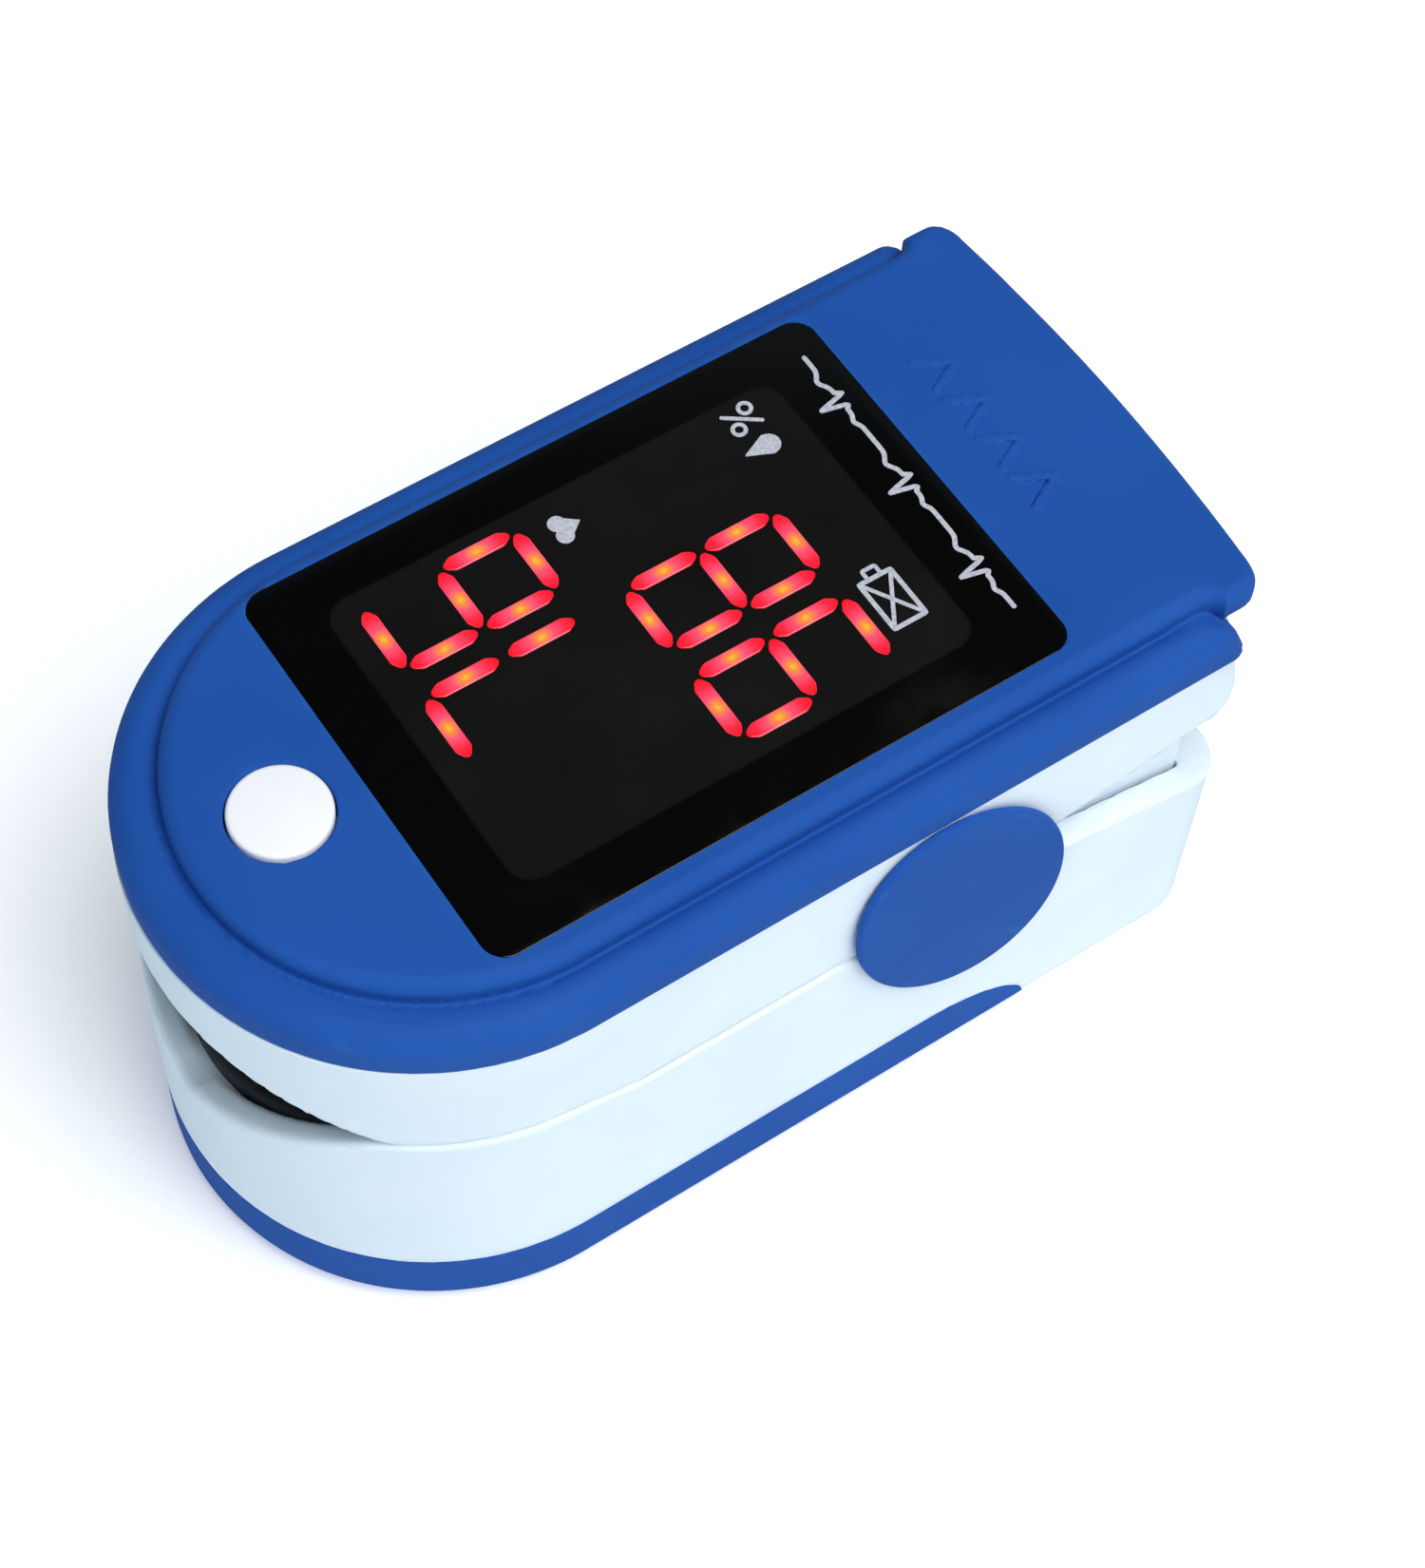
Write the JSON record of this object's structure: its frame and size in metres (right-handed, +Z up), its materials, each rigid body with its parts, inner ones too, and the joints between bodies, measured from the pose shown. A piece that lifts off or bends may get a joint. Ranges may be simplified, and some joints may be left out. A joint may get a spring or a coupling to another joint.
{
  "type": "fingertip pulse oximeter",
  "caption": "Fingertip clip with two sprung jaws, soft finger pads, a power button, a numeric display window and a sliding battery door.",
  "frame": {"origin": "centre of the base, at the lowest point of the outer box", "axes": "+X from the finger mouth to the squeeze end, +Y across the jaws along the hinge pin, +Z up through the display"},
  "size_m": [0.057, 0.0316, 0.032],
  "materials": {
    "blue_plastic": "satin moulded ABS",
    "white_plastic": "satin moulded ABS with a cool tint",
    "black_window": "polished smoked acrylic",
    "black_silicone": "matt silicone rubber",
    "cell_jacket": "printed foil sleeve",
    "nickel_contact": "nickel plated",
    "spring_steel": "bright drawn wire",
    "circuit_board": "green solder mask",
    "black_component": "moulded epoxy",
    "display_housing": "dark moulded reflector",
    "clear_window": "clear moulded lens",
    "amber_ribbon": "amber film",
    "cream_plastic": "moulded nylon"
  },
  "bodies": {
    "lower_jaw": {"lower_shell": "white_plastic", "lower_finger_pad": "black_silicone", "battery_left": "cell_jacket", "battery_right": "cell_jacket", "front_contact_plate": "nickel_contact", "front_spring_plate": "nickel_contact", "front_contact_spring": "nickel_contact", "rear_contact_bridge": "nickel_contact", "rear_contact_spring": "nickel_contact", "sensor_board": "circuit_board", "photodiode": "black_component", "sensor_window": "clear_window", "hinge_pin": "spring_steel", "hinge_cap_left": "blue_plastic", "hinge_cap_right": "blue_plastic", "torsion_spring_left": "spring_steel", "torsion_spring_right": "spring_steel", "hinge_ribbon_cable": "amber_ribbon"},
    "upper_jaw": {"upper_shell": "white_plastic", "top_cover": "blue_plastic", "display_window": "black_window", "upper_finger_pad": "black_silicone", "main_board": "circuit_board", "led_display_module": "display_housing", "processor_chip": "black_component", "clock_crystal": "spring_steel", "power_inductor": "black_component", "ribbon_connector": "cream_plastic", "led_emitter": "black_component", "emitter_window": "clear_window", "board_screw_1": "spring_steel", "board_screw_2": "spring_steel", "board_screw_3": "spring_steel", "board_screw_4": "spring_steel", "tact_switch": "black_component"},
    "power_button": {"power_button": "white_plastic", "switch_plunger": "cream_plastic"},
    "battery_door": {"battery_door": "blue_plastic"}
  },
  "joints": [
    {"name": "jaw_hinge", "type": "hinge", "parent": "lower_jaw", "child": "upper_jaw", "pos_m": [0.0092, 0, 0.0186], "axis": [0, 1, 0], "range_deg": [0, 18], "stiffness_Nm_per_rad": 0.08, "springref_deg": -28.65, "deforming": ["torsion_spring_left", "torsion_spring_right", "hinge_ribbon_cable"]},
    {"name": "button_press", "type": "slide", "parent": "upper_jaw", "child": "power_button", "axis": [0, 0, -1], "range_m": [0, 0.0004], "stiffness_N_per_m": 1200, "springref_m": -0.0004},
    {"name": "door_slide", "type": "slide", "parent": "lower_jaw", "child": "battery_door", "axis": [-1, 0, 0], "range_m": [0, 0.048]}
  ]
}
